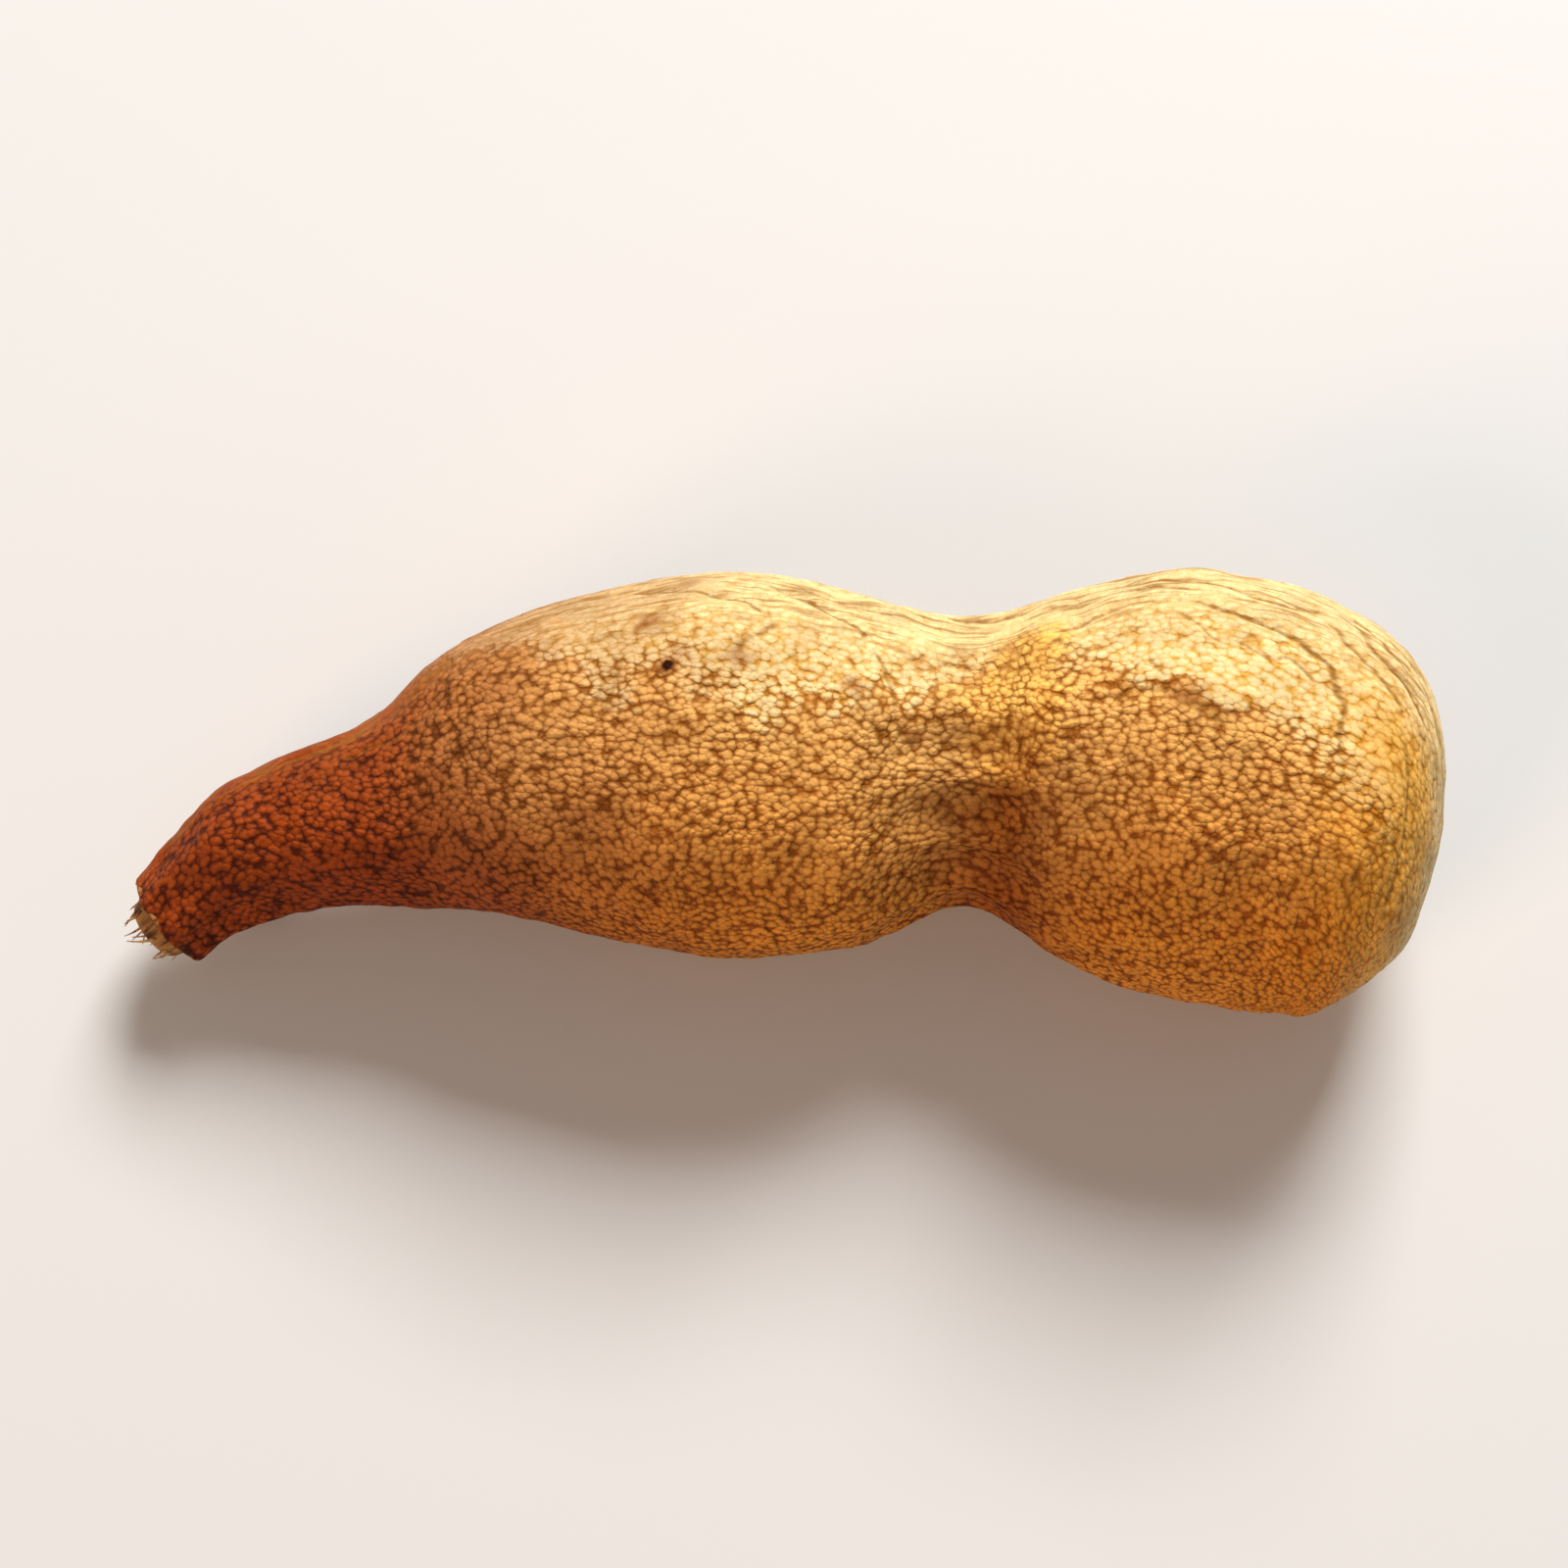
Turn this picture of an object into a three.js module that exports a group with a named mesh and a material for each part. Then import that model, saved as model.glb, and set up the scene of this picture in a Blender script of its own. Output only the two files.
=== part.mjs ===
// A tamarind pod: one dry, closed, curved fruit, lying on its flank as it comes to rest.
// Millimetres, +Z up. The stalk end is at -X and the blunt tip at +X. The seam, which is the outer and
// longer edge of the curve, is on the +Y side and raised; the belly, the inner edge, is on the -Y side.
// The origin is the centre of the pod's footprint box, on the surface that it lies on.
import * as THREE from "three";
import { ImprovedNoise } from "three/addons/math/ImprovedNoise.js";
import { mergeVertices } from "three/addons/utils/BufferGeometryUtils.js";

// Driving dimensions
const podLength = 92; // from the rim of the stalk scar to the far side of the tip lobe
const rollDeg = 28.5; // how far the seam edge is raised when the pod lies still
const pitchDeg = -3; // how far the stalk end is raised: it hangs lower than the tip lobe
const wornDepth = 0.6; // how much of the lowest skin is worn flat where it touches the surface

// Stations from the stalk end to the tip, drawn for a pod of outlineLength. The seam and belly columns
// are the two edges in the plane of the curve, and a section of the pod spans each pair. Thickness is the
// flank-to-flank size as a share of that span, and sway moves the section sideways, towards one flank.
const outlineLength = 91.5;
const stations = [
  { seam: [-49.2, -6.6], belly: [-44.8, -12.2], thickness: 0.98, sway: 1.2 },
  { seam: [-46.5, -3.5], belly: [-41.8, -10.1], thickness: 0.98, sway: 1.0 },
  { seam: [-43.3, -0.2], belly: [-38.2, -8.9], thickness: 0.98, sway: 0.8 },
  { seam: [-38.8, 2.2], belly: [-33.3, -8.3], thickness: 0.96, sway: 0.6 },
  { seam: [-32.1, 5.2], belly: [-26.6, -8.5], thickness: 0.93, sway: 0.4 },
  { seam: [-25.8, 10.4], belly: [-19.6, -9.6], thickness: 0.9, sway: 0.2 },
  { seam: [-17.6, 13.4], belly: [-13.2, -11.0], thickness: 0.88, sway: 0 },
  { seam: [-8.0, 15.1], belly: [-6.4, -11.9], thickness: 0.87, sway: 0 },
  { seam: [1.0, 13.8], belly: [1.6, -11.0], thickness: 0.84, sway: 0 },
  { seam: [9.2, 11.9], belly: [8.6, -9.1], thickness: 0.8, sway: 0.2 },
  { seam: [16.0, 13.8], belly: [14.6, -11.4], thickness: 0.84, sway: 0.2 },
  { seam: [24.2, 15.4], belly: [20.6, -13.9], thickness: 0.86, sway: 0 },
  { seam: [32.8, 13.7], belly: [26.0, -15.1], thickness: 0.87, sway: 0 },
  { seam: [39.5, 9.7], belly: [29.9, -15.7], thickness: 0.9, sway: 0 },
  { seam: [42.0, 3.0], belly: [33.1, -15.5], thickness: 0.94, sway: 0 },
  { seam: [41.3, -6.0], belly: [36.2, -14.0], thickness: 0.96, sway: 0 },
  { seam: [39.5, -11.0], belly: [39.5, -11.0], thickness: 0.96, sway: 0 },
];

// The stalk scar: from its rim inwards, how wide it is as a share of the neck, and how deep
const scarProfile = [
  [1.0, 0],
  [0.97, -0.5],
  [0.84, -0.55],
  [0.72, 0.4],
  [0.6, 1.5],
  [0.35, 1.5],
  [0.0, 1.1],
];

// Mesh
const sides = 70;
const rows = 84;
const bodyShare = 0.9; // the share of the rows that is outside the scar
const crowding = 0.3; // how much closer the points round a section are at the seam

// Relief out from the smooth form. Heights, pitches and the seam's spread are in millimetres.
const seamRidges = { height: 0.3, pitch: 3.4, spread: 2.8 };
const waistFolds = { height: 0.28, count: 13, station: 9, spread: 0.8 };
const neckFolds = { height: 0.16, count: 7, station: 1, spread: 1.4 };
const lumps = { height: 0.45, pitches: [27, 20], phase: 1, flankShare: 1.5 }; // none on the two edges
const grain = { height: 0.55, size: 1.6 };
const fadeShare = 0.1; // the share of the rows over which ridges, lumps and grain rise at either end

const noise = new ImprovedNoise();
const bell = (distance, spread) => Math.exp(-((distance / spread) ** 2));

// The seam edge, the tip and the belly edge are one smooth line.
const outline = new THREE.SplineCurve([
  ...stations.map(({ seam }) => new THREE.Vector2(...seam)),
  ...stations.slice(0, -1).reverse().map(({ belly }) => new THREE.Vector2(...belly)),
]);
const shares = new THREE.SplineCurve(
  stations.map(({ thickness, sway }) => new THREE.Vector2(thickness, sway)).reverse(),
);
const scar = new THREE.SplineCurve(scarProfile.map((point) => new THREE.Vector2(...point)));

// The section at a share of the way from the tip (0) to the rim of the scar (1).
function sectionAt(along) {
  const seam = outline.getPoint(0.5 - along / 2);
  const belly = outline.getPoint(0.5 + along / 2);
  const half = seam.clone().sub(belly).multiplyScalar(0.5);
  const [thickness, sway] = shares.getPoint(along).toArray();
  return { centre: seam.clone().add(belly).multiplyScalar(0.5), half, thick: half.length() * thickness, sway };
}

// A point of the smooth form, in the plane of the curve (x, y) and out of it (z).
function smoothPoint(along, angle) {
  const inBody = Math.min(along / bodyShare, 1);
  const { centre, half, thick, sway } = sectionAt(inBody);
  const inScar = Math.max((along - bodyShare) / (1 - bodyShare), 0);
  const [width, depth] = scar.getPoint(inScar).toArray();
  const inwards = new THREE.Vector2(-half.y, half.x).normalize().multiplyScalar(-depth);
  const across = Math.cos(angle) * width;
  return new THREE.Vector3(
    centre.x + half.x * across - inwards.x,
    centre.y + half.y * across - inwards.y,
    sway + thick * Math.sin(angle) * width,
  );
}

// How far the skin stands out from the smooth form.
function reliefAt(along, angle, point) {
  if (along > bodyShare) return 0;
  const station = (1 - along / bodyShare) * (stations.length - 1);
  const fade = Math.min(along, bodyShare - along, fadeShare) / fadeShare;
  const folds = (at) => at.height * bell(station - at.station, at.spread) * Math.cos(at.count * angle);
  const ridge = Math.cos((2 * Math.PI * point.z) / seamRidges.pitch) * bell(point.z, seamRidges.spread);
  const [longLump, shortLump] = lumps.pitches.map((pitch) => (2 * Math.PI * point.x) / pitch);
  const flank = Math.min(lumps.flankShare * Math.sin(angle) ** 2, 1);
  const lump = flank * Math.sin(longLump + 2 * angle) * Math.sin(shortLump - angle + lumps.phase);
  const pebble = noise.noise(...point.clone().divideScalar(grain.size));
  const ridges = Math.cos(angle) > 0 ? seamRidges.height * ridge : 0;
  return folds(waistFolds) + folds(neckFolds) + fade * (ridges + lumps.height * lump + grain.height * pebble);
}

// A closed ball of points is drawn out into the pod, and each point then moves out by its relief.
function podGeometry() {
  const geometry = new THREE.SphereGeometry(1, sides, rows);
  geometry.deleteAttribute("normal");
  geometry.deleteAttribute("uv");
  const pod = mergeVertices(geometry);
  const position = pod.getAttribute("position");
  const places = [];
  for (let i = 0; i < position.count; i++) {
    const ball = new THREE.Vector3().fromBufferAttribute(position, i);
    const along = Math.acos(THREE.MathUtils.clamp(ball.y, -1, 1)) / Math.PI;
    const turn = Math.atan2(-ball.z, ball.x);
    const angle = turn - crowding * Math.sin(turn);
    const point = smoothPoint(along, angle);
    places.push({ along, angle, point });
    position.setXYZ(i, ...point);
  }
  pod.computeVertexNormals();
  const normal = pod.getAttribute("normal");
  places.forEach(({ along, angle, point }, i) => {
    const out = new THREE.Vector3().fromBufferAttribute(normal, i);
    position.setXYZ(i, ...point.clone().addScaledVector(out, reliefAt(along, angle, point)));
  });
  pod.deleteAttribute("normal");
  return pod;
}

// Lays the pod on its flank, with its lowest skin worn flat on the surface.
function layDown(pod) {
  const size = podLength / outlineLength;
  pod.scale(size, size, size);
  pod.rotateX(THREE.MathUtils.degToRad(rollDeg));
  pod.rotateY(THREE.MathUtils.degToRad(pitchDeg));
  pod.computeBoundingBox();
  const { min, max } = pod.boundingBox;
  pod.translate(-(min.x + max.x) / 2, -(min.y + max.y) / 2, -min.z - wornDepth);
  const position = pod.getAttribute("position");
  for (let i = 0; i < position.count; i++) position.setZ(i, Math.max(position.getZ(i), 0));
  return pod;
}

const shell = new THREE.MeshStandardMaterial({ color: 0xb5813f, roughness: 0.85, metalness: 0 });
const pod = new THREE.Mesh(layDown(podGeometry()), shell);
pod.name = "pod";

const fruit = new THREE.Group();
fruit.add(pod);
export default fruit;
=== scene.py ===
import math
import random

import bmesh
import bpy
import numpy as np
from mathutils import Matrix, Vector, noise


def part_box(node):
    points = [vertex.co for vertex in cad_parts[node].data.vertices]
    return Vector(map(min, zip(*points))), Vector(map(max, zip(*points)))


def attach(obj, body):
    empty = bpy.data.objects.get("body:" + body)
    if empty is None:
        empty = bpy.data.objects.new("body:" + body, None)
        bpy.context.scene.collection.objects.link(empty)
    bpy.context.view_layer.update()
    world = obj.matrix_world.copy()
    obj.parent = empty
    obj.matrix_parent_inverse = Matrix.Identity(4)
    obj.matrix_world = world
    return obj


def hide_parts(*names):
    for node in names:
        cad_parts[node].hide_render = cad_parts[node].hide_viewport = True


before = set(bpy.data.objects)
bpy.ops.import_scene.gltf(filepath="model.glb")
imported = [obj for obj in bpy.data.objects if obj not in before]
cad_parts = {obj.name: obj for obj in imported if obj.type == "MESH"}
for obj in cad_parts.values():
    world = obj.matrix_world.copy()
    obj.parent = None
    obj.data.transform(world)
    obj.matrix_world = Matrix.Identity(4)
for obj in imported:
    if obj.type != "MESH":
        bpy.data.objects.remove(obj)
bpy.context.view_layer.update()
podLow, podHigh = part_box("pod")
mm = 0.001

# the camera, lamps and floor come first, so that every try shows the same view
view = {
    "azimuth": 1.0,  # degrees: nearly along +Y, with the seam edge at the top of the picture
    "elevation": 76.0,
    "lens": 100.0,
    "fill": 0.86,  # share of the picture's width that the pod takes
    "clip": (0.01, 10),  # metres
}


def makeCamera():
    data = bpy.data.cameras.new("camera")
    data.lens = view["lens"]
    data.clip_start, data.clip_end = view["clip"]
    camera = bpy.data.objects.new("camera", data)
    bpy.context.collection.objects.link(camera)
    middle = (podLow + podHigh) / 2
    width = (podHigh.x - podLow.x) / view["fill"]
    away = width * data.lens / data.sensor_width + (podHigh.z - middle.z) / 2
    turn = math.radians(view["azimuth"])
    lift = math.radians(view["elevation"])
    back = Vector((math.sin(turn) * math.cos(lift), -math.cos(turn) * math.cos(lift), math.sin(lift)))
    camera.location = middle + back * away
    camera.rotation_euler = (-back).to_track_quat("-Z", "Y").to_euler()
    bpy.context.scene.camera = camera


studio = {
    "lamps": {  # place in metres, size, power, tint
        "key": ((0.28, 1.04, 0.92), 0.6, 32.0, (1.0, 0.96, 0.88)),
        "fill": ((-0.72, -0.72, 0.72), 0.5, 7.2, (1.0, 0.62, 0.36)),
    },
    "sky": (1.0, 0.97, 0.93, 1.0),
    "skyPower": 0.22,
    "floorSize": 1.5,  # metres
    "floorColour": (0.6, 0.62, 0.66, 1),
    "floorRoughness": 0.6,
}


def makeLights():
    for name, (place, size, power, tint) in studio["lamps"].items():
        data = bpy.data.lights.new(name, "AREA")
        data.size = size
        data.energy = power
        data.color = tint
        light = bpy.data.objects.new(name, data)
        light.location = place
        light.rotation_euler = (-Vector(place)).to_track_quat("-Z", "Y").to_euler()
        bpy.context.collection.objects.link(light)
    world = bpy.data.worlds.new("studio")
    world.use_nodes = True
    sky = world.node_tree.nodes["Background"]
    sky.inputs["Color"].default_value = studio["sky"]
    sky.inputs["Strength"].default_value = studio["skyPower"]
    bpy.context.scene.world = world
    bpy.context.scene.view_settings.view_transform = "Standard"


def makeObject(name, bm):
    mesh = bpy.data.meshes.new(name)
    bm.to_mesh(mesh)
    bm.free()
    made = bpy.data.objects.new(name, mesh)
    bpy.context.collection.objects.link(made)
    return made


def newMaterial(name):
    material = bpy.data.materials.new(name)
    material.use_nodes = True
    return material, material.node_tree, material.node_tree.nodes["Principled BSDF"]


def makeFloor():
    bm = bmesh.new()
    bmesh.ops.create_grid(bm, x_segments=1, y_segments=1, size=studio["floorSize"])
    floor = makeObject("floor", bm)
    material, tree, shader = newMaterial("paleFloor")
    shader.inputs["Base Color"].default_value = studio["floorColour"]
    shader.inputs["Roughness"].default_value = studio["floorRoughness"]
    floor.data.materials.append(material)


# node helpers, for the skin's relief and for the materials alike
def addNode(tree, kind, inputs=None, **settings):
    made = tree.nodes.new(kind)
    for name, value in settings.items():
        setattr(made, name, value)
    for socket, value in (inputs or {}).items():
        if isinstance(value, bpy.types.NodeSocket):
            tree.links.new(value, made.inputs[socket])
        else:
            made.inputs[socket].default_value = value
    return made


def calc(tree, operation, *values):
    return addNode(tree, "ShaderNodeMath", dict(enumerate(values)), operation=operation).outputs[0]


def moved(tree, operation, *values):
    inputs = dict(enumerate(values))
    return addNode(tree, "ShaderNodeVectorMath", inputs, operation=operation).outputs[0]


def ramp(tree, value, low, high, start=0.0, end=1.0):
    limits = {"Value": value, "From Min": low, "From Max": high, "To Min": start, "To Max": end}
    return addNode(tree, "ShaderNodeMapRange", limits, interpolation_type="SMOOTHSTEP").outputs[0]


def blend(tree, share, first, second, way="MIX"):
    inputs = {0: share, 6: first, 7: second}
    return addNode(tree, "ShaderNodeMix", inputs, data_type="RGBA", blend_type=way).outputs[2]


def cloud(tree, place, size, detail=2.0, roughness=0.5, asColour=False):
    inputs = {"Vector": place, "Scale": 1 / size, "Detail": detail, "Roughness": roughness}
    return addNode(tree, "ShaderNodeTexNoise", inputs).outputs["Color" if asColour else "Fac"]


def cells(tree, place, size, randomness):
    inputs = {"Vector": place, "Scale": 1 / size, "Randomness": randomness}
    return addNode(tree, "ShaderNodeTexVoronoi", inputs)


def fromMesh(tree, name):
    return addNode(tree, "ShaderNodeAttribute", attribute_name=name)


def threeFromMesh(tree, name):
    return addNode(tree, "ShaderNodeSeparateXYZ", {0: fromMesh(tree, name).outputs["Vector"]}).outputs


def colour(code):
    # a hex code of sRGB as the linear colour that a socket takes
    parts = [int(code[i:i + 2], 16) / 255 for i in (0, 2, 4)]
    return (*[((p + 0.055) / 1.055) ** 2.4 if p > 0.04045 else p / 12.92 for p in parts], 1)


# the pod's form, the same as its solid's: millimetres, in the plane of the curve
form = {
    "around": 250,
    "rings": 388,
    "bodyShare": 0.9,  # the share of the rings that is outside the stalk scar
    "crowding": 0.3,  # how much closer the points round a section are at the seam
    "rollDeg": 28.5,
    "pitchDeg": -3.0,
    "wornDepth": 0.6,
    "waistFolds": (0.28, 13, 9, 0.8),  # height, count, station, spread
    "neckFolds": (0.16, 7, 1, 1.4),
    "lumpHeight": 0.45,
    "lumpPitches": (27, 20),
    "lumpPhase": 1,
    "flankShare": 1.5,  # the lumps leave the two edges smooth
    "fadeShare": 0.1,  # the share of the rings over which the relief rises at either end
}
# seam edge, belly edge, thickness as a share of the width, sway towards a flank
stations = [
    ((-49.2, -6.6), (-44.8, -12.2), 0.98, 1.2),
    ((-46.5, -3.5), (-41.8, -10.1), 0.98, 1.0),
    ((-43.3, -0.2), (-38.2, -8.9), 0.98, 0.8),
    ((-38.8, 2.2), (-33.3, -8.3), 0.96, 0.6),
    ((-32.1, 5.2), (-26.6, -8.5), 0.93, 0.4),
    ((-25.8, 10.4), (-19.6, -9.6), 0.9, 0.2),
    ((-17.6, 13.4), (-13.2, -11.0), 0.88, 0),
    ((-8.0, 15.1), (-6.4, -11.9), 0.87, 0),
    ((1.0, 13.8), (1.6, -11.0), 0.84, 0),
    ((9.2, 11.9), (8.6, -9.1), 0.8, 0.2),
    ((16.0, 13.8), (14.6, -11.4), 0.84, 0.2),
    ((24.2, 15.4), (20.6, -13.9), 0.86, 0),
    ((32.8, 13.7), (26.0, -15.1), 0.87, 0),
    ((39.5, 9.7), (29.9, -15.7), 0.9, 0),
    ((42.0, 3.0), (33.1, -15.5), 0.94, 0),
    ((41.3, -6.0), (36.2, -14.0), 0.96, 0),
    ((39.5, -11.0), (39.5, -11.0), 0.96, 0),
]
# the stalk scar from its rim inwards: width as a share of the neck, and depth
scarProfile = [(1.0, 0), (0.97, -0.5), (0.84, -0.55), (0.72, 0.4), (0.6, 1.5), (0.35, 1.5), (0.0, 1.1)]


def splineAt(points, share):
    points = np.array(points, float)
    spans = len(points) - 1
    place = np.clip(share, 0, 1) * spans
    i = np.minimum(place.astype(int), spans - 1)
    w = (place - i)[:, None]
    start, end = points[i], points[i + 1]
    before, after = points[np.maximum(i - 1, 0)], points[np.minimum(i + 2, spans)]
    leave, arrive = (end - before) / 2, (after - start) / 2
    step = start - end
    return start + w * (leave + w * (-3 * step - 2 * leave - arrive + w * (2 * step + leave + arrive)))


def bell(distance, spread):
    return np.exp(-((distance / spread) ** 2))


def rise(value, low, high):
    t = np.clip((value - low) / (high - low), 0, 1)
    return t * t * (3 - 2 * t)


def noiseAt(points, size, shift=0.0):
    return np.array([noise.noise(Vector(p) / size + Vector((shift, 0, 0))) for p in points])


def smoothForm(along, angle):
    body = form["bodyShare"]
    inBody = np.minimum(along / body, 1)
    inScar = np.maximum((along - body) / (1 - body), 0)
    edge = [s[0] for s in stations] + [s[1] for s in stations[-2::-1]]
    seam = splineAt(edge, 0.5 - inBody / 2)
    belly = splineAt(edge, 0.5 + inBody / 2)
    thickness, sway = splineAt([s[2:] for s in stations[::-1]], inBody).T
    width, depth = splineAt(scarProfile, inScar).T
    half = (seam - belly) / 2
    size = np.maximum(np.hypot(*half.T), 1e-9)  # never zero, at the tip either
    inwards = np.stack([-half[:, 1], half[:, 0]], 1) / size[:, None]
    middle = (seam + belly) / 2
    flat = middle + half * (np.cos(angle) * width)[:, None] + inwards * depth[:, None]
    up = sway + size * thickness * np.sin(angle) * width
    return np.column_stack([flat, up]), size, size * thickness, middle, width


def podBall():
    bm = bmesh.new()
    bmesh.ops.create_uvsphere(bm, u_segments=form["around"], v_segments=form["rings"], radius=1)
    ball = np.array([v.co for v in bm.verts])
    along = np.arccos(np.clip(ball[:, 2], -1, 1)) / math.pi
    turn = np.arctan2(ball[:, 1], ball[:, 0])
    return bm, along, turn - form["crowding"] * np.sin(turn)


def moveTo(bm, points):
    for v, p in zip(bm.verts, points):
        v.co = p
    bm.normal_update()
    return np.array([v.normal for v in bm.verts])


def solidRelief(places, along, angle, outside, fade):
    # the folds and lumps that the solid has too
    station = (1 - along / form["bodyShare"]) * (len(stations) - 1)
    relief = np.zeros(len(along))
    for height, count, at, spread in (form["waistFolds"], form["neckFolds"]):
        relief += outside * height * bell(station - at, spread) * np.cos(count * angle)
    longLump, shortLump = [2 * math.pi * places[:, 0] / pitch for pitch in form["lumpPitches"]]
    lump = np.sin(longLump + 2 * angle) * np.sin(shortLump - angle + form["lumpPhase"])
    flank = np.minimum(form["flankShare"] * np.sin(angle) ** 2, 1)
    return relief + fade * form["lumpHeight"] * flank * lump


# the hollow, ridges and folds that only the finer skin has: millimetres
# a noise is given as height, size and shift
fine = {
    "centreSteps": 600,  # points on the middle line, to measure along it
    "scarRun": 3,  # the run from the scar's rim to its middle
    "valleyDepth": 1.3,  # the hollow in each flank at the waist
    "valleyRun": (59, 4.2),  # its place along the pod, and its spread
    "valleyAway": (5, 21),  # the distances from the seam where it starts and is full
    "swells": (0.25, 4.2, 7),
    "bumps": [(0.12, 1.7, 11), (0.05, 0.9, 13)],
    "seamRidges": (0.22, 0.95, 17),
    "seamStretch": 0.09,  # how little they change along the pod
    "seamLean": 0.03,
    "seamSpread": 4.5,
    "foldShare": 0.8,  # how much of a fold's depth is in the mesh
    "foldSpread": 2.4,  # in the fold's own half widths, as the next line is
    "foldBanks": (0.4, 4.2, 1.7),  # what stands up beside it: share of its depth, place, spread
    "foldStray": (0.4, 1.9),  # how far a fold strays from its line, and over what length
    "strayShifts": (5, 29),
}


def runAlong(along):
    # millimetres along the middle line from the stalk end
    body = form["bodyShare"]
    share = np.linspace(0, 1, fine["centreSteps"])
    centre = smoothForm(share * body, np.zeros(len(share)))[3]
    length = np.concatenate([[0], np.cumsum(np.hypot(*np.diff(centre, axis=0).T))])
    run = length[-1] - np.interp(np.minimum(along / body, 1), share, length)
    return run - np.maximum(along - body, 0) / (1 - body) * fine["scarRun"]


def fineRelief(straight, run, side, outside, fade, folds):
    away = np.abs(side)
    valleyAt, valleySpread = fine["valleyRun"]
    finer = -fine["valleyDepth"] * bell(run - valleyAt, valleySpread) * rise(away, *fine["valleyAway"])
    height, size, shift = fine["swells"]
    uneven = height * fade * noiseAt(straight, size, shift)
    for height, size, shift in fine["bumps"]:
        uneven += height * noiseAt(straight, size, shift)
    finer += outside * uneven
    height, size, shift = fine["seamRidges"]
    ribbon = [run * fine["seamStretch"], side + fine["seamLean"] * run, np.zeros(len(run))]
    ridges = noiseAt(np.column_stack(ribbon), size, shift)
    finer += outside * fade * height * ridges * bell(away, fine["seamSpread"])
    bankShare, bankAt, bankSpread = fine["foldBanks"]
    for across, depth in folds[:, :, :2].transpose(0, 2, 1):
        bank = bankShare * bell(np.abs(across) - bankAt, bankSpread)
        finer += fine["foldShare"] * depth * (bank - bell(across, fine["foldSpread"]))
    return finer


def layDown(bm):
    # on its flank, to the size and place of the solid
    pitch = Matrix.Rotation(math.radians(form["pitchDeg"]), 4, "Y")
    laid = pitch @ Matrix.Rotation(math.radians(form["rollDeg"]), 4, "X")
    bm.transform(laid)
    low, high = [Vector(f(v.co[i] for v in bm.verts) for i in range(3)) for f in (min, max)]
    scale = (podHigh.x - podLow.x) / (high.x - low.x)
    middle = (low + high) / 2
    foot = Vector((middle.x, middle.y, low.z + form["wornDepth"]))
    target = Vector(((podLow.x + podHigh.x) / 2, (podLow.y + podHigh.y) / 2, podLow.z))
    toPlace = Matrix.Translation(target) @ Matrix.Scale(scale, 4) @ Matrix.Translation(-foot)
    bm.transform(toPlace)
    for v in bm.verts:
        v.co.z = max(v.co.z, podLow.z)  # worn flat where it rests
    return toPlace @ laid


def makePod():
    bm, along, angle = podBall()
    places, wide, thick, middle, width = smoothForm(along, angle)
    out = moveTo(bm, places)
    if ((places - [*middle.mean(0), 0]) * out).sum() < 0:
        bmesh.ops.reverse_faces(bm, faces=bm.faces)
        out = moveTo(bm, places)
    body = form["bodyShare"]
    outside = along <= body
    fade = np.clip(np.minimum(along, body - along) / form["fadeShare"], 0, 1)
    places = places + out * solidRelief(places, along, angle, outside, fade)[:, None]
    out = moveTo(bm, places)

    # the straightened pod: millimetres along it from the stalk end, and round it from the seam
    run = runAlong(along)
    side = angle * (wide + thick) / 2 * np.where(outside, 1, width)
    onNeck, start, end = marks["bandNeck"]
    band = np.abs(angle) * np.maximum((wide + thick) / 2, marks["bandRadius"])
    band *= onNeck - (onNeck - 1) * rise(run, start, end)
    band *= np.where(angle < 0, marks["bandOther"], 1)
    straight = np.column_stack([run, wide * np.cos(angle), thick * np.sin(angle)])
    stray, size = fine["foldStray"]
    strayRun, straySide = [stray * noiseAt(straight, size, shift) for shift in fine["strayShifts"]]
    folds = creaseLayers(run + strayRun, side + straySide)
    moveTo(bm, places + out * fineRelief(straight, run, side, outside, fade, folds)[:, None])
    toPlace = layDown(bm)
    pod = makeObject("podSkin", bm)
    pod.data.shade_smooth()
    skinMaps(pod.data, straight, run, side, band, along, folds)
    return pod, toPlace


# how far from the seam the straw-coloured scurf reaches, as (run, reach)
scurfReach = [
    (0, -3), (15, -2), (24, 1), (31, 5.5), (36, 10), (42, 12.5), (51, 11.5), (57, 7), (61, 5),
    (65, 9), (68, 11.5), (74, 13), (80, 15), (86, 17), (92, 21), (98, 22),
]
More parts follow.
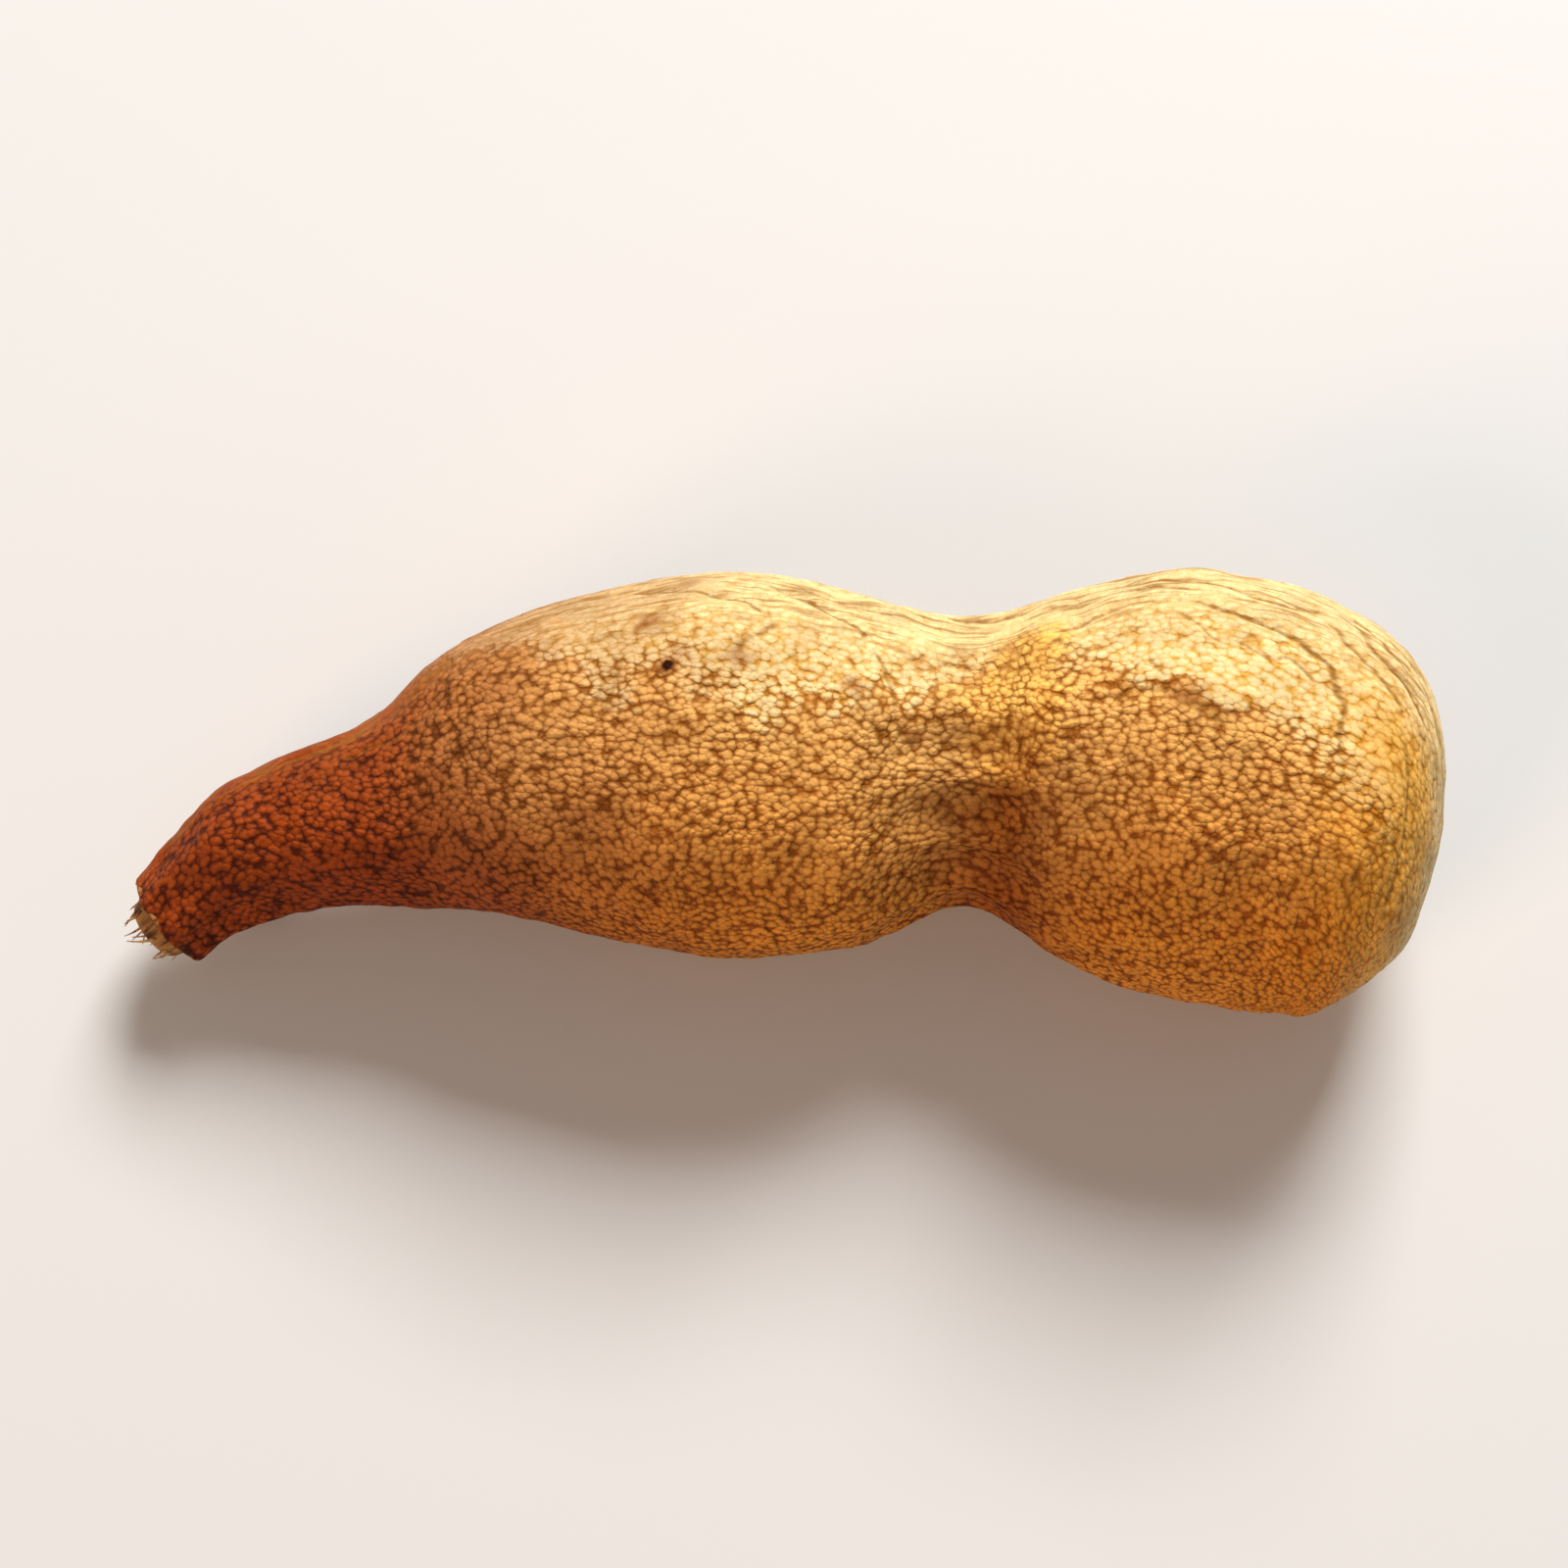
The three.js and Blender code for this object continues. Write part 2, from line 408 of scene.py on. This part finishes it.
# cracks and folds: half width, depth, darkness of the painted shade along it, then the (run, side)
# points
creases = [
    # on the neck
    (0.13, 0.12, 0.5, [(13, 1.5), (25, 2.5), (34, 1.5)]),
    (0.13, 0.12, 0.45, [(16.5, 3.5), (25.5, 6), (29, 6)]),
    # on the lobe nearer the stalk
    (0.17, 0.16, 0.8, [(36.5, 1), (41.5, 3.5), (47, 5.5)]),
    (0.20, 0.28, 1.0, [(45.5, 1.5), (48.5, 3), (50.5, 4.5), (52, 6.5)]),
    (0.16, 0.15, 0.85, [(45, 0.5), (49.5, 1.5), (54.5, 2)]),
    (0.16, 0.14, 0.7, [(52, 6.5), (53.5, 9), (54, 11), (55, 12.5)]),
    (0.26, 0.14, 0.85, [(46.5, 6), (44.5, 8), (43.5, 9.5)]),
    (0.16, 0.12, 0.7, [(36.5, 8.5), (36, 10.5), (35, 12)]),
    (0.15, 0.1, 0.6, [(35.5, 9.5), (34.5, 11.5), (33.5, 12)]),
    (0.20, 0.13, 0.75, [(39.5, 4.5), (38, 6), (37, 7)]),
    # at the waist
    (0.16, 0.16, 0.8, [(56.5, 0.5), (60.5, 1), (62.5, 1.5)]),
    # on the tip lobe
    (0.19, 0.18, 0.95, [(66.5, 1), (72, 2), (77, 3.5), (80, 2.5)]),
    (0.21, 0.26, 1.0, [(70.5, 4.5), (74.5, 6), (78.5, 7), (80.5, 9), (81.5, 12), (82, 15)]),
    (0.19, 0.24, 0.85, [(64, 5.5), (66.5, 5), (68.5, 4)]),
    (0.18, 0.18, 0.9, [(63, 2.5), (65.5, 2), (69, 2.5), (73, 3.5)]),
    (0.15, 0.15, 0.75, [(71.5, 6.5), (73, 8), (74, 9)]),
    (0.17, 0.15, 0.8, [(74.5, 8.5), (76.5, 9.5), (78, 9), (80, 10)]),
    (0.26, 0.22, 1.05, [(80.5, 1.5), (83, 4.5), (87, 6.5)]),
    (0.23, 0.2, 1.0, [(81, 1), (84, 3.5), (87, 4.5)]),
    (0.21, 0.16, 0.85, [(79.5, 3.5), (82.5, 6.5), (85, 8)]),
    (0.22, 0.17, 0.9, [(83, 1), (87.5, 3), (90, 2.5)]),
    (0.22, 0.17, 0.9, [(85, 9.5), (87, 12.5), (88, 15.5), (88, 17)]),
    (0.15, 0.15, 0.65, [(70, 10), (71, 12)]),
    (0.25, 0.25, 0.7, [(67, 11.5), (71.5, 13), (75, 15)]),
]
# stains, and a pinhole: (run, side), radius, darkness, where more than 1 is a pit, darkened inside with
# painted shade
spots = [
    ((39.4, 10.1), 0.43, 2.6),
    ((72.2, 13.2), 0.9, 0.7),
    ((50.9, 2.2), 0.5, 0.65),
    ((40.5, 1.3), 1.0, 0.6),
    ((51.2, 10.0), 0.7, 0.8),
    ((55.1, 11.8), 0.5, 0.8),
    ((43.8, 9.6), 1.0, 0.7),
    ((38.3, 6.0), 0.8, 0.7),
    ((40.2, 9.2), 0.7, 0.5),
]
folding = {
    "layers": "ABC",  # folds that lie close together go to different layers
    "steps": 8,  # points along a fold for each one that it is drawn with
    "margin": 1.6,  # millimetres round a fold in which it is looked for
    "unreached": 9.0,  # farther than any fold is wide
    "reach": (0.9, 1.4),  # the distances where it starts to fade and is gone
    "endShare": 0.16,  # the share of its length over which it fades in
    "waistRun": 61,  # between the two lobes
    "stalkTurn": 86,  # twice the run of each lobe's middle, for the folds on the other flank
    "tipTurn": 151,
    "otherSide": (-0.85, -1.1),  # how a distance from the seam changes there
    "otherShares": (0.9, 0.8, 0.7),  # of half width, depth and darkness
}


def onOtherFlank(points):
    # the same folds turned end for end on each lobe, so that the two flanks differ
    turn = folding["tipTurn"] if points[0][0] > folding["waistRun"] else folding["stalkTurn"]
    share, shift = folding["otherSide"]
    return [(turn - r, share * s + shift) for r, s in points]


def allCreases():
    thinner, shallower, paler = folding["otherShares"]
    others = [(half * thinner, depth * shallower, dark * paler, onOtherFlank(points))
              for half, depth, dark, points in creases[1::2]]
    return creases + others


def acrossFold(places, line, half):
    # how far each place is from the fold, the same signed and in half widths, and where along the fold
    step = np.diff(line, axis=0)
    share = np.clip(((places[:, None] - line[:-1]) * step).sum(2) / (step ** 2).sum(1), 0, 1)
    gap = places[:, None] - (line[:-1] + share[..., None] * step)
    far = np.linalg.norm(gap, axis=2)
    best = far.argmin(1)
    rows = np.arange(len(places))
    far, gap, step = far[rows, best], gap[rows, best], step[best]
    across = np.sign(step[:, 0] * gap[:, 1] - step[:, 1] * gap[:, 0]) * far / half
    along = (best + share[rows, best]) / (len(line) - 1)
    return far, across, along


def creaseLayers(run, side):
    # each fold goes to the layer where it is farthest from its neighbours
    count = len(folding["layers"])
    layers = np.zeros((count, len(run), 3))
    nearest = np.full((count, len(run)), folding["unreached"])
    drawn = [[np.full((1, 2), math.inf)] for layer in layers]
    for half, depth, dark, points in allCreases():
        line = splineAt(points, np.linspace(0, 1, folding["steps"] * len(points)))
        gaps = [min(np.linalg.norm(line[:, None] - other, axis=2).min() for other in lines)
                for lines in drawn]
        layer = int(np.argmax(gaps))
        drawn[layer].append(line)
        low, high = line.min(0) - folding["margin"], line.max(0) + folding["margin"]
        near = np.nonzero((run > low[0]) & (run < high[0]) & (side > low[1]) & (side < high[1]))[0]
        far, across, along = acrossFold(np.column_stack([run[near], side[near]]), line, half)
        fade = rise(np.minimum(along, 1 - along), 0, folding["endShare"])
        fade *= 1 - rise(far, *folding["reach"])
        closer = far < nearest[layer, near]
        nearest[layer, near[closer]] = far[closer]
        layers[layer, near[closer]] = np.column_stack([across, fade * depth, fade * dark])[closer]
    return layers


# where each look is, in millimetres: runs along the pod, and distances from the seam
marks = {
    "drift": 7,  # size of the slow wander that every edge has, from -1 to 1
    "patch": (2.6, 40),  # size and shift of the quick one
    "seamDrift": 0.5,
    "bandRadius": 9,  # keeps the smooth band at the seam from spreading round the tip
    "bandNeck": (2.0, 18, 40),  # how much narrower it is on the neck, and the runs over which that ends
    "bandOther": 1.4,  # how much narrower it is on the other flank
    "scurfWander": 2.4,
    "scurfEdge": 3.3,  # over what distance the scurf ends
    "peel": (2.4, 71, 5),  # how much more sharply where it peeled off, that run, and the spread
    "otherReach": 0.75,  # its reach on the other flank, as a share
    "otherThinner": (0.45, 5),  # how much thinner it is there, and over what distance
    "stalkScurf": (0.94, 48, 64),  # its strength up to the waist, and the runs where that ends
    "ruddyShaded": (15, 48),  # the runs where the ruddy neck, darkened in part with painted shade, starts to fade and is gone
    "ruddyWander": 4,
    "crumblyRun": (62, 1.2, 3.6),  # the crumbling skin at the waist: run, wander, spread
    "crumblyAway": (10.5, 2, 6.5),  # distance, wander, spread
    "valleyRun": (60.7, 5.0),  # the hollow at the waist, darkened with painted shade: run, spread
    "valleyAway": (9.5, 16.5),  # the distances where it starts and is full
    "valleyShadeWander": 1.5,
    "belly": (10, 30),  # the same for the belly, which is darker and warmer, partly its own tone and partly painted shade and painted red reflection
    "ochre": 0.9,  # how strong the ochre of the tip is
    "ochreRun": (79, 87),
    "ochreAway": (4, 11),
    "ochreWander": 2,
    "scarEdge": (-0.002, 0.008),  # from the scar's rim, in shares of the rings
}


def keep(mesh, name, values):
    wide = values.ndim == 2
    stored = mesh.attributes.new(name, "FLOAT_VECTOR" if wide else "FLOAT", "POINT")
    stored.data.foreach_set("vector" if wide else "value", values.ravel())


def scurfMap(run, side, away, drift, patch):
    reach = np.interp(run, *np.array(scurfReach).T)
    reach = np.where(side < 0, reach * marks["otherReach"], reach)
    sharper, peelRun, peelSpread = marks["peel"]
    width = marks["scurfEdge"]
    edge = np.where(side > 0, width - sharper * bell(run - peelRun, peelSpread), width)
    thinner, over = marks["otherThinner"]
    scurf = rise((reach - away + marks["scurfWander"] * (drift + patch)) / edge, -1, 1)
    scurf *= 1 - thinner * rise(-side, 0, over)
    strength, start, end = marks["stalkScurf"]
    return scurf * (strength + (1 - strength) * rise(run, start, end))


def skinMaps(mesh, straight, run, side, band, along, folds):
    away = np.abs(side)
    drift = noiseAt(straight, marks["drift"])
    patch = noiseAt(straight, *marks["patch"])
    keep(mesh, "skin", straight)
    keep(mesh, "seamLine", np.column_stack([run, side + marks["seamDrift"] * drift, band]))

    # the ruddy neck, its colour darkened in part as painted shade
    ruddyShaded = 1 - rise(run + marks["ruddyWander"] * drift, *marks["ruddyShaded"])
    at, wander, spread = marks["crumblyRun"]
    crumbly = bell(run - at - wander * drift, spread)
    at, wander, spread = marks["crumblyAway"]
    crumbly *= bell(away - at - wander * patch, spread)
    keep(mesh, "tints", np.column_stack([scurfMap(run, side, away, drift, patch), ruddyShaded, crumbly]))

    # painted shade in the hollow at the waist, then the stains, and the darker, warmer belly
    at, spread = marks["valleyRun"]
    valleyShade = bell(run - at - drift, spread)
    valleyShade *= rise(away + marks["valleyShadeWander"] * patch, *marks["valleyAway"])
    stain = np.zeros(len(run))
    for (r, s), size, dark in spots:
        stain = np.maximum(stain, bell(np.hypot(run - r, side - s), size) * dark)
    keep(mesh, "shades", np.column_stack([valleyShade, stain, rise(away, *marks["belly"])]))

    wander = marks["ochreWander"]
    ochre = rise(run + wander * patch, *marks["ochreRun"])
    ochre *= rise(away + wander * drift, *marks["ochreAway"])
    keep(mesh, "ochre", ochre * marks["ochre"])
    keep(mesh, "scar", rise(along, *[form["bodyShare"] + edge for edge in marks["scarEdge"]]))
    for name, layer in zip(folding["layers"], folds):
        keep(mesh, "crease" + name, layer)


# the skin's small relief, in millimetres: a noise is given as size, detail and roughness
# a ramp is given as the two values that become 0 and 1, or that become the next two
skin = {
    "stretch": (0.84, 1, 1),  # pebbles are a little longer along the pod
    "bends": [(1.3, 0.34), (0.42, 0.16)],  # size and reach of what makes them uneven
    "randomness": 0.88,
    "pebbleSize": 0.5,
    "pebbleFall": 1.8,  # how steep their sides are
    "pebbleHeight": 0.16,
    "smallSize": 0.27,  # smaller pebbles on them
    "smallHeight": 0.045,
    "soft": (1.1, 2, 0.6),  # soft unevenness between them
    "softHeight": 0.12,
    "grit": (0.2, 3, 0.65),
    "gritHeight": 0.015,
    "islands": (2.6, 3, 0.6),  # the patches in which scurf is left
    "rubIslands": (1.1, -1.3),  # how much more is left in them, and what comes off everywhere
    "rubPebbles": 0.45,  # how much more on the pebbles
    "rubSoft": 1.1,  # and where the soft unevenness is high
    "strawFrom": (0.2, 0.8),
    "strawEdge": (0.12, 0.4),
    "scurfHeight": 0.07,
    "unevenSize": 4.0,
    "uneven": (0.3, 0.7, 0.6, 1.15),  # how strong the relief is, from place to place
    "scurfCalm": -0.45,  # what adds to that: scurf, then the belly and crumbling skin
    "bellyRough": 0.5,
    "crumblyRough": 0.9,
    "seamCalm": (1, 11, 0.28, 1),
    "pitFrom": (1.0, 1.8),
    "pitDepth": 0.4,
    "foldShare": 0.45,  # how much of a fold's depth is in this relief too
    "foldWidth": 1.7,  # in its own half widths
    "foldWobble": (1.4, 2),
    "foldStray": 2.4,  # how far its edges wobble, in half widths
    "foldGaps": (0.9, 2),  # where it is fainter
    "foldFaint": (0.3, 0.55, 0.6, 1.0),
    "foldOnPebbles": (0.2, 0.9, 1.0, 0.72),
    "stripe": (0.4, 2),  # fine ridges that run with the seam
    "stripeStretch": 0.12,
    "stripeBend": (3.0, 1),
    "stripeReach": (0, 0.8, 0),
    "stripeHeight": (2.5, 10.5, 0.16, 0.0),
}


def pebbles(tree, place):
    bent = moved(tree, "MULTIPLY", place, skin["stretch"])
    for size, reach in skin["bends"]:
        nudge = moved(tree, "SUBTRACT", cloud(tree, place, size, 1, asColour=True), (0.5, 0.5, 0.5))
        bent = moved(tree, "MULTIPLY_ADD", nudge, (reach, reach, reach), bent)
    near = cells(tree, bent, skin["pebbleSize"], skin["randomness"])
    steep = calc(tree, "POWER", near.outputs["Distance"], skin["pebbleFall"])
    pebble = calc(tree, "MULTIPLY_ADD", steep, -skin["pebbleFall"], 1.0)
    small = cells(tree, bent, skin["smallSize"], skin["randomness"]).outputs["Distance"]
    small = calc(tree, "SUBTRACT", 1.0, calc(tree, "MULTIPLY", small, small))
    return near.outputs["Color"], pebble, small, cloud(tree, bent, *skin["soft"])


def scurfLeft(tree, place, scurf, pebble, soft):
    # pale scurf stays longest on the crests of the pebbles
    rub = calc(tree, "MULTIPLY_ADD", cloud(tree, place, *skin["islands"]), *skin["rubIslands"])
    rub = calc(tree, "MULTIPLY_ADD", pebble, skin["rubPebbles"], rub)
    rub = calc(tree, "MULTIPLY_ADD", soft, skin["rubSoft"], rub)
    straw = ramp(tree, calc(tree, "ADD", rub, scurf), *skin["strawFrom"])
    return rub, calc(tree, "MULTIPLY", straw, ramp(tree, scurf, *skin["strawEdge"]))


def reliefStrength(tree, place, band, scurf, belly, crumbly):
    uneven = ramp(tree, cloud(tree, place, skin["unevenSize"]), *skin["uneven"])
    calm = calc(tree, "MULTIPLY_ADD", scurf, skin["scurfCalm"], 1.0)
    calm = calc(tree, "MULTIPLY", calm, ramp(tree, band, *skin["seamCalm"]))
    calm = calc(tree, "MULTIPLY_ADD", belly, skin["bellyRough"], calm)
    calm = calc(tree, "MULTIPLY_ADD", crumbly, skin["crumblyRough"], calm)
    return calc(tree, "MULTIPLY", uneven, calm)


def cutFolds(tree, place, pebble, height):
    # the folds are cut into the height, broken and with uneven edges, and their lines of painted shade
    # are given too
    stray = skin["foldStray"]
    wobble = calc(tree, "MULTIPLY_ADD", cloud(tree, place, *skin["foldWobble"]), stray, -stray / 2)
    faint = ramp(tree, cloud(tree, place, *skin["foldGaps"]), *skin["foldFaint"])
    broken = calc(tree, "MULTIPLY", faint, ramp(tree, pebble, *skin["foldOnPebbles"]))
    line = 0.0
    for name in folding["layers"]:
        offset, depth, dark = threeFromMesh(tree, "crease" + name)
        across = calc(tree, "ABSOLUTE", calc(tree, "ADD", offset, wobble))
        cut = calc(tree, "MULTIPLY", ramp(tree, across, 0.0, skin["foldWidth"], 1, 0), broken)
        sunk = calc(tree, "MULTIPLY", depth, skin["foldShare"])
        height = calc(tree, "SUBTRACT", height, calc(tree, "MULTIPLY", cut, sunk))
        line = calc(tree, "MAXIMUM", line, calc(tree, "MULTIPLY", cut, dark))
    return height, line


def seamStripes(tree, place, run, side):
    slow = calc(tree, "MULTIPLY", run, skin["stripeStretch"])
    ribbon = addNode(tree, "ShaderNodeCombineXYZ", {0: slow, 1: side, 2: 0.0}).outputs[0]
    bend = cloud(tree, place, *skin["stripeBend"], asColour=True)
    ribbon = moved(tree, "MULTIPLY_ADD", bend, skin["stripeReach"], ribbon)
    return cloud(tree, ribbon, *skin["stripe"])


def skinRelief(tree):
    place = fromMesh(tree, "skin").outputs["Vector"]
    run, side, band = threeFromMesh(tree, "seamLine")
    scurf, ruddyShaded, crumbly = threeFromMesh(tree, "tints")
    valleyShade, spot, belly = threeFromMesh(tree, "shades")
    tint, pebble, small, soft = pebbles(tree, place)
    rub, straw = scurfLeft(tree, place, scurf, pebble, soft)
    height = calc(tree, "MULTIPLY", pebble, skin["pebbleHeight"])
    height = calc(tree, "MULTIPLY_ADD", small, skin["smallHeight"], height)
    height = calc(tree, "MULTIPLY_ADD", soft, skin["softHeight"], height)
    height = calc(tree, "MULTIPLY", height, reliefStrength(tree, place, band, scurf, belly, crumbly))
    height = calc(tree, "MULTIPLY_ADD", straw, skin["scurfHeight"], height)
    shadedPit = ramp(tree, spot, *skin["pitFrom"])
    height = calc(tree, "MULTIPLY_ADD", shadedPit, -skin["pitDepth"], height)
    height, line = cutFolds(tree, place, pebble, height)
    stripe = seamStripes(tree, place, run, side)
    height = calc(tree, "MULTIPLY_ADD", stripe, ramp(tree, band, *skin["stripeHeight"]), height)
    grit = cloud(tree, place, *skin["grit"])
    height = calc(tree, "MULTIPLY_ADD", grit, skin["gritHeight"], height)
    masks = {"straw": straw, "ruddyShaded": ruddyShaded, "crumbly": crumbly, "valleyShade": valleyShade,
             "spot": spot, "belly": belly, "shadedPit": shadedPit, "line": line}
    found = {"place": place, "band": band, "pebble": pebble, "soft": soft, "rub": rub,
             "tint": tint, "stripe": stripe, "grit": grit, "small": small}
    return height, masks, found


# crest and crevice of each skin, the crevice darker as painted shade between the pebbles; single
# colours, for the folds' and the pinhole's painted shade and the stains; tints that are multiplied in,
# painted shade (the belly's partly its own warmer tone); then noises and ramps
shell = {
    "tan": ("e4b268", "9a5e1c"),
    "straw": ("e0c894", "cc983e"),
    # the neck's own red-brown, darkened in part as painted shade
    "ruddyShaded": ("943f0e", "4c1702"),
    "crumbly": ("f0bb62", "aa6a20"),
    "ochre": ("e4aa44", "ba7a1c"),
    "scar": ("a87a48", "4a260f"),
    # painted shade along the folds, also used for the streaks along the seam
    "line": "8e5f20",
    "spot": "8a5020",
    # painted shade inside the pinhole
    "shadedPit": "2a1005",
    # painted shade multiplied into the hollow at the waist
    "valleyShade": (0.46, 0.3, 0.18, 1.0),
    # the belly darker and warmer: partly its own tone, partly painted shade and painted red reflection
    "belly": (0.96, 0.65, 0.24, 1.0),
    "crumblyFrom": (0.2, 0.6),
    "crumblyEdge": (0.03, 0.3),
    "crestBase": -0.5,  # added to a pebble and shares of the finer relief, to tell its crest
    "crestSmall": 0.3,
    "crestSoft": 0.5,
    "crestFrom": (-0.25, 0.85),
    "seamSmooth": (2.0, 11, 0.8, 0),  # the seam itself has no crevices
    "pebbleTint": (0.2, 0.9),  # how much the pebbles differ, and the darkest
    "clouds": (3.2, 3),  # size and detail of wide patches
    "cloudTint": (0.3, 0.72, 0.88, 1.08),
    "fleckTint": (0.3, 0.7, 0.86, 1.12),
    "streakFrom": (0.47, 0.66),
    "streakReach": (3, 10.5, 0.7, 0),
    "scarGrain": (0.35, 0.65),
    "bump": 1.0,
    "roughness": 0.6,
    "specular": 0.1,
}


def varied(tree, body, found):
    # each pebble a little lighter or darker, with flecks and wide cloudy patches
    tint = calc(tree, "MULTIPLY_ADD", found["tint"], *shell["pebbleTint"])
    flecks = ramp(tree, found["grit"], *shell["fleckTint"])
    cloudy = ramp(tree, cloud(tree, found["place"], *shell["clouds"]), *shell["cloudTint"])
    tint = calc(tree, "MULTIPLY", calc(tree, "MULTIPLY", tint, flecks), cloudy)
    return blend(tree, 1.0, body, tint, "MULTIPLY")


def paintShell(tree, masks, found):
    crumbled = ramp(tree, calc(tree, "ADD", found["rub"], masks["crumbly"]), *shell["crumblyFrom"])
    edge = ramp(tree, masks["crumbly"], *shell["crumblyEdge"])
    masks["crumbly"] = calc(tree, "MULTIPLY", crumbled, edge)
    masks["ochre"] = fromMesh(tree, "ochre").outputs["Fac"]
    crest, shadedCrevice = [colour(c) for c in shell["tan"]]
    for name in ("straw", "ruddyShaded", "crumbly", "ochre"):
        crest = blend(tree, masks[name], crest, colour(shell[name][0]))
        shadedCrevice = blend(tree, masks[name], shadedCrevice, colour(shell[name][1]))
    high = calc(tree, "ADD", found["pebble"], shell["crestBase"])
    high = calc(tree, "MULTIPLY_ADD", found["small"], shell["crestSmall"], high)
    high = calc(tree, "MULTIPLY_ADD", found["soft"], shell["crestSoft"], high)
    smooth = ramp(tree, found["band"], *shell["seamSmooth"])
    high = calc(tree, "MAXIMUM", ramp(tree, high, *shell["crestFrom"]), smooth)
    # the crevices take the darker colour, painted shade between the pebbles
    body = varied(tree, blend(tree, high, shadedCrevice, crest), found)
    # the belly and the waist's hollow are darkened with painted shade, the belly partly its own warmer
    # tone and painted red reflection
    for name in ("belly", "valleyShade"):
        body = blend(tree, masks[name], body, blend(tree, 1.0, body, shell[name], "MULTIPLY"))
    nearSeam = ramp(tree, found["band"], *shell["streakReach"])
    streak = calc(tree, "MULTIPLY", ramp(tree, found["stripe"], *shell["streakFrom"]), nearSeam)
    body = blend(tree, streak, body, colour(shell["line"]))
    # painted shade in the folds and inside the pinhole, and the stains' own colour
    for name in ("line", "spot", "shadedPit"):
        body = blend(tree, masks[name], body, colour(shell[name]))
    grain = ramp(tree, found["soft"], *shell["scarGrain"])
    pale, dark = [colour(c) for c in shell["scar"]]
    wood = blend(tree, grain, dark, pale)
    return blend(tree, fromMesh(tree, "scar").outputs["Fac"], body, wood)


def shellMaterial():
    material, tree, shader = newMaterial("podShell")
    height, masks, found = skinRelief(tree)
    tree.links.new(paintShell(tree, masks, found), shader.inputs["Base Color"])
    shader.inputs["Roughness"].default_value = shell["roughness"]
    shader.inputs["Specular IOR Level"].default_value = shell["specular"]
    metres = calc(tree, "MULTIPLY", height, mm)
    inputs = {"Height": metres, "Distance": 1.0, "Strength": shell["bump"]}
    tree.links.new(addNode(tree, "ShaderNodeBump", inputs).outputs[0], shader.inputs["Normal"])
    return material


# the torn strands of the stalk, standing in the scar: millimetres
fibres = {
    "count": 22,
    "seed": 11,
    "turn": 2.4,  # radians from one strand to the next
    "ring": (0.55, 0.92),  # from the scar's rim to its middle, as shares
    "length": (0.7, 2.3),
    "sunk": 0.3,
    "radius": 0.15,
    "tipRadius": 0.03,
    "sides": 6,
    "cuts": 4,
    "lean": 0.5,  # radians at most
    "bend": 0.16,
    "neckShare": 0.03,  # the stretch of neck that gives their direction
    "crest": "c79c63",
    "root": "6b3d1b",
    "grain": (0.5, 2),
    "grainFrom": (0.35, 0.65),
    "roughness": 0.8,
}


def outOfScar():
    shares = (form["bodyShare"] - fibres["neckShare"], form["bodyShare"])
    near, rim = [smoothForm(np.array([share]), np.array([0.0]))[3][0] for share in shares]
    return Vector((*(rim - near), 0)).normalized()


def addStrand(bm, chance, angle, stand):
    body = form["bodyShare"]
    along = body + (1 - body) * chance.uniform(*fibres["ring"])
    root = smoothForm(np.array([along]), np.array([angle]))[0][0]
    length = chance.uniform(*fibres["length"])
    cone = bmesh.ops.create_cone(bm, cap_ends=True, segments=fibres["sides"], radius1=fibres["radius"],
                                 radius2=fibres["tipRadius"], depth=length)
    edges = {e for v in cone["verts"] for e in v.link_edges}
    sides = [e for e in edges if abs((e.verts[0].co - e.verts[1].co).z) > length / 2]
    bmesh.ops.subdivide_edges(bm, edges=sides, cuts=fibres["cuts"])
    leaning = chance.uniform(0, fibres["lean"])
    axis = (chance.uniform(-1, 1), chance.uniform(-1, 1), 0.01)  # level, and never without length
    lean = Matrix.Rotation(leaning, 4, axis)
    bend = chance.uniform(-fibres["bend"], fibres["bend"])
    point = Matrix.Translation(root) @ stand @ lean
    for v in [v for v in bm.verts if not v.tag]:
        v.tag = True  # in place
        height = v.co.z + length / 2
        v.co = point @ Vector((v.co.x + bend * height ** 2, v.co.y, height - fibres["sunk"]))


def fibreMaterial():
    material, tree, shader = newMaterial("stalkFibre")
    place = addNode(tree, "ShaderNodeTexCoord").outputs["Object"]
    size, detail = fibres["grain"]
    grain = ramp(tree, cloud(tree, place, size * mm, detail), *fibres["grainFrom"])
    body = blend(tree, grain, colour(fibres["root"]), colour(fibres["crest"]))
    tree.links.new(body, shader.inputs["Base Color"])
    shader.inputs["Roughness"].default_value = fibres["roughness"]
    return material


def makeFibres(toPlace):
    chance = random.Random(fibres["seed"])
    stand = (-outOfScar()).to_track_quat("-Z", "Y").to_matrix().to_4x4()
    bm = bmesh.new()
    for count in range(fibres["count"]):
        addStrand(bm, chance, fibres["turn"] * count, stand)
    bm.transform(toPlace)
    strands = makeObject("stalkFibres", bm)
    strands.data.shade_smooth()
    strands.data.materials.append(fibreMaterial())
    return strands


makeCamera()
makeLights()
makeFloor()
print("camera, lights and floor made")

pod, toPlace = makePod()
pod.data.materials.append(shellMaterial())
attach(pod, "root")
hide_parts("pod")
print("pod skin made:", len(pod.data.polygons), "faces")

strands = makeFibres(toPlace)
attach(strands, "root")
print("stalk fibres made:", len(strands.data.polygons), "faces")
